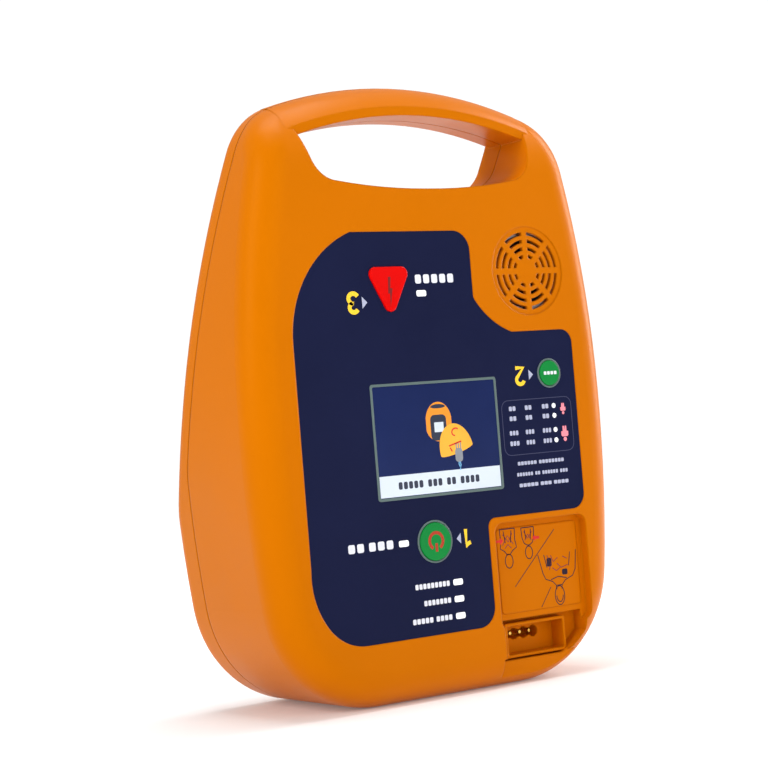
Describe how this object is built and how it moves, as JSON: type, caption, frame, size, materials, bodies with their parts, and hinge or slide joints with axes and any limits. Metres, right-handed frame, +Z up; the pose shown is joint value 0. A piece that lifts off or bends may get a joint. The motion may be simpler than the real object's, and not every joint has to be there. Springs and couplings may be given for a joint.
{
  "type": "automated external defibrillator",
  "caption": "Portable defibrillator: wedge-shaped two-shell case with an arched handle, a button and display panel, speaker grille, pads socket and a slide-out battery.",
  "frame": {"origin": "middle of the flat base", "axes": "+Z up to the handle, the control face looks along -Y, +X to the right seen from the front"},
  "size_m": [0.2168, 0.089, 0.3032],
  "materials": {
    "case_orange": "satin moulded",
    "panel_navy": "printed film, fine matt grain",
    "trim_grey": "satin",
    "screen_glass": "clear hard-coated window",
    "lcd_glass": "gloss",
    "white_diffuser": "matt",
    "steel_plate": "plated",
    "key_green": "satin",
    "key_red": "satin",
    "clear_pipe": "frosted clear",
    "silicone": "soft",
    "black_plastic": "matt",
    "circuit_board": "solder mask",
    "black_rubber": "matt",
    "speaker_paper": "doped paper",
    "gold_contact": "plated",
    "capacitor_sleeve": "sleeved can",
    "ferrite": "sintered",
    "copper_wire": "enamelled",
    "relay_case": "moulded",
    "bare_aluminium": "extruded",
    "cell_can": "wrapped",
    "battery_plastic": "fine texture",
    "spring_steel": "bright"
  },
  "bodies": {
    "case": {"front_shell": "case_orange", "rear_shell": "case_orange", "shell_seal": "black_rubber", "case_screws": "spring_steel", "screw_caps": "case_orange", "graphic_panel": "panel_navy", "display_bezel": "trim_grey", "display_window": "screen_glass", "lcd_panel": "lcd_glass", "lcd_backlight": "white_diffuser", "lcd_tray": "steel_plate", "power_button_ring": "trim_grey", "mode_button_ring": "trim_grey", "button_domes": "silicone", "tact_switches": "black_plastic", "status_light_pipes": "clear_pipe", "energy_light_pipes": "clear_pipe", "indicator_leds": "clear_pipe", "keypad_board": "circuit_board", "speaker_gasket": "black_rubber", "speaker_frame": "steel_plate", "speaker_cone": "speaker_paper", "speaker_magnet": "ferrite", "speaker_clamp": "black_plastic", "clamp_screws": "spring_steel", "placement_label": "case_orange", "pads_socket": "case_orange", "socket_contacts": "gold_contact", "socket_gasket": "black_rubber", "main_board": "circuit_board", "board_screws": "spring_steel", "storage_capacitor": "capacitor_sleeve", "capacitor_clamps": "black_plastic", "transformer_core": "ferrite", "transformer_winding": "copper_wire", "discharge_relays": "relay_case", "heat_sink": "bare_aluminium", "inductor_core": "ferrite", "inductor_winding": "copper_wire", "filter_capacitors": "capacitor_sleeve", "board_chips": "black_plastic", "board_headers": "black_plastic", "bay_contacts": "gold_contact", "battery_catch_spring": "spring_steel", "rear_feet": "black_rubber"},
    "power_button": {"power_button": "key_green"},
    "mode_button": {"mode_button": "key_green"},
    "shock_button": {"shock_button": "key_red"},
    "battery": {"battery_case": "battery_plastic", "battery_cover": "battery_plastic", "battery_cells": "cell_can", "battery_contacts": "gold_contact"},
    "battery_release": {"battery_release_button": "trim_grey"}
  },
  "joints": [
    {"name": "power_press", "type": "slide", "parent": "case", "child": "power_button", "axis": [0, 1, 0], "range_m": [0, 0.0012], "stiffness_N_per_m": 600, "springref_m": -0.002, "deforming": ["button_domes"]},
    {"name": "mode_press", "type": "slide", "parent": "case", "child": "mode_button", "axis": [0, 1, 0], "range_m": [0, 0.0012], "stiffness_N_per_m": 600, "springref_m": -0.002, "deforming": ["button_domes"]},
    {"name": "shock_press", "type": "slide", "parent": "case", "child": "shock_button", "axis": [0, 1, 0], "range_m": [0, 0.0012], "stiffness_N_per_m": 600, "springref_m": -0.002, "deforming": ["button_domes"]},
    {"name": "battery_slide", "type": "slide", "parent": "case", "child": "battery", "axis": [0, 1, 0], "range_m": [0, 0.06], "deforming": ["battery_catch_spring"]},
    {"name": "battery_release_press", "type": "slide", "parent": "case", "child": "battery_release", "axis": [0, -1, 0], "range_m": [0, 0.002], "stiffness_N_per_m": 400, "springref_m": -0.002, "deforming": ["battery_catch_spring"]}
  ]
}
